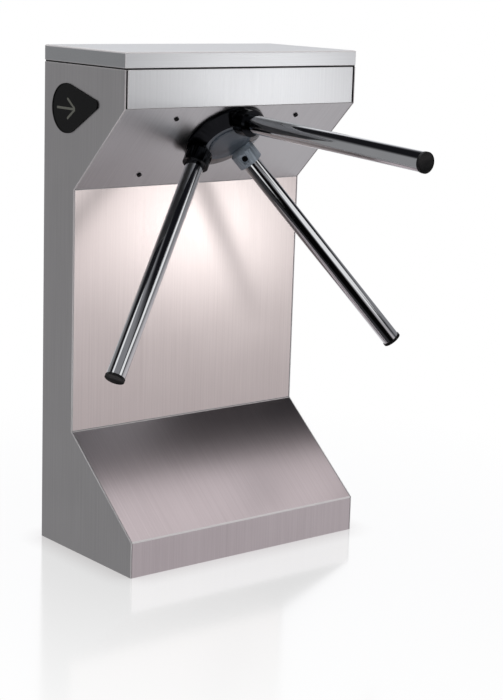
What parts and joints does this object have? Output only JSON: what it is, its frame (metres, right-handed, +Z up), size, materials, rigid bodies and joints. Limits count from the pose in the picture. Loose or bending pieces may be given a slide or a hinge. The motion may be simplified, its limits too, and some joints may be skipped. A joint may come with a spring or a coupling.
{
  "type": "tripod turnstile",
  "caption": "Floor-standing brushed-steel turnstile cabinet with a slanted head carrying a rotating hub of tubular arms, a hinged lid, a rear service door and side indicators.",
  "frame": {"origin": "on the floor, at the middle of the cabinet's base and of its anchor holes", "axes": "+Z up, +X to the right of someone who faces the arms, the arms and front face -Y"},
  "size_m": [0.717, 0.7741, 0.98],
  "materials": {
    "brushed_stainless": "fine brushed stainless steel sheet",
    "polished_tube": "polished stainless steel tube",
    "hub_casting": "dark polished casting",
    "hub_face": "grey-blue satin metal",
    "black_plastic": "moulded black plastic",
    "dark_lens": "dark tinted acrylic",
    "seal_rubber": "black rubber",
    "dark_screws": "black oxide steel",
    "zinc_steel": "zinc-plated steel",
    "machined_steel": "ground and hobbed steel",
    "cast_aluminium": "cast aluminium",
    "coil_black": "black coil case on a steel foot",
    "circuit_board": "green circuit board"
  },
  "bodies": {
    "cabinet": {"base_plate": "zinc_steel", "left_side_plate": "brushed_stainless", "right_side_plate": "brushed_stainless", "back_panel": "brushed_stainless", "front_band": "brushed_stainless", "mechanism_panel": "brushed_stainless", "column_panel": "brushed_stainless", "plinth_cover": "brushed_stainless", "hinge_frame_leaves": "zinc_steel", "hinge_pins": "zinc_steel", "lid_seal": "seal_rubber", "lid_lock_barrel": "zinc_steel", "panel_screws": "dark_screws", "left_indicator_bezel": "black_plastic", "right_indicator_bezel": "black_plastic", "left_indicator_lens": "dark_lens", "right_indicator_lens": "dark_lens", "indicator_boards": "circuit_board", "mechanism_plate": "zinc_steel", "bearing_housing": "cast_aluminium", "housing_bolts": "zinc_steel", "bearing_outer_rings": "machined_steel", "damper_body": "cast_aluminium", "centring_stub": "zinc_steel", "spring_post": "zinc_steel", "centring_spring": "machined_steel", "pawl_pivots": "zinc_steel", "solenoids": "coil_black", "control_board": "circuit_board", "power_supply": "cast_aluminium", "position_sensor": "black_plastic"},
    "tripod": {"hub": "hub_casting", "hub_cap": "hub_face", "hub_bolt": "zinc_steel", "front_arm": "polished_tube", "right_arm": "polished_tube", "left_arm": "polished_tube", "arm_set_screws": "dark_screws", "front_end_cap": "black_plastic", "right_end_cap": "black_plastic", "left_end_cap": "black_plastic", "main_shaft": "machined_steel", "bearing_inner_rings": "machined_steel", "lock_disc": "machined_steel", "main_gear": "machined_steel", "shaft_nut": "zinc_steel"},
    "centring": {"centring_pinion": "machined_steel"},
    "damper": {"damper_pinion": "machined_steel"},
    "left_lock": {"left_pawl": "zinc_steel"},
    "right_lock": {"right_pawl": "zinc_steel"},
    "left_pull": {"left_plunger": "zinc_steel"},
    "right_pull": {"right_plunger": "zinc_steel"},
    "lid": {"lid": "brushed_stainless", "lid_hinge_leaves": "zinc_steel", "lid_catch": "zinc_steel"},
    "lid_lock": {"lid_lock_cam": "zinc_steel"},
    "rear_door": {"rear_door": "brushed_stainless", "door_hinge_leaves": "zinc_steel", "door_lock_barrel": "zinc_steel"},
    "door_lock": {"door_lock_cam": "zinc_steel"}
  },
  "joints": [
    {"name": "tripod_turn", "type": "hinge", "parent": "cabinet", "child": "tripod", "pos_m": [0, -0.05124, 0.81624], "axis": [0, -0.7071, -0.7071], "continuous": true},
    {"name": "centring_turn", "type": "hinge", "parent": "cabinet", "child": "centring", "pos_m": [0.08, -0.05124, 0.81624], "axis": [0, -0.7071, -0.7071], "continuous": true, "deforming": ["centring_spring"]},
    {"name": "damper_turn", "type": "hinge", "parent": "cabinet", "child": "damper", "pos_m": [-0.06928, -0.07952, 0.84452], "axis": [0, -0.7071, -0.7071], "continuous": true},
    {"name": "left_pawl_swing", "type": "hinge", "parent": "cabinet", "child": "left_lock", "pos_m": [-0.06397, -0.03653, 0.80153], "axis": [0, -0.7071, -0.7071], "range_deg": [0, 10]},
    {"name": "right_pawl_swing", "type": "hinge", "parent": "cabinet", "child": "right_lock", "pos_m": [0.06397, -0.03653, 0.80153], "axis": [0, 0.7071, 0.7071], "range_deg": [0, 10]},
    {"name": "left_plunger_slide", "type": "slide", "parent": "cabinet", "child": "left_pull", "axis": [1, 0, 0], "range_m": [0, 0.0102]},
    {"name": "right_plunger_slide", "type": "slide", "parent": "cabinet", "child": "right_pull", "axis": [-1, 0, 0], "range_m": [0, 0.0102]},
    {"name": "lid_open", "type": "hinge", "parent": "cabinet", "child": "lid", "pos_m": [0, 0.161, 0.9495], "axis": [-1, 0, 0], "range_deg": [0, 95]},
    {"name": "lid_lock_turn", "type": "hinge", "parent": "cabinet", "child": "lid_lock", "pos_m": [0.278, -0.059, 0.923], "axis": [1, 0, 0], "range_deg": [0, 90]},
    {"name": "rear_door_open", "type": "hinge", "parent": "cabinet", "child": "rear_door", "pos_m": [-0.17075, 0.161, 0.27], "axis": [0, 0, 1], "range_deg": [0, 110]},
    {"name": "door_lock_turn", "type": "hinge", "parent": "rear_door", "child": "door_lock", "pos_m": [0.144, 0.156, 0.27], "axis": [0, -1, 0], "range_deg": [0, 90]}
  ],
  "couplings": [
    {"joint": "centring_turn", "follows": "tripod_turn", "ratio": -3},
    {"joint": "damper_turn", "follows": "tripod_turn", "ratio": -3},
    {"joint": "left_plunger_slide", "follows": "left_pawl_swing", "m_per_rad": 0.058},
    {"joint": "right_plunger_slide", "follows": "right_pawl_swing", "m_per_rad": 0.058}
  ]
}
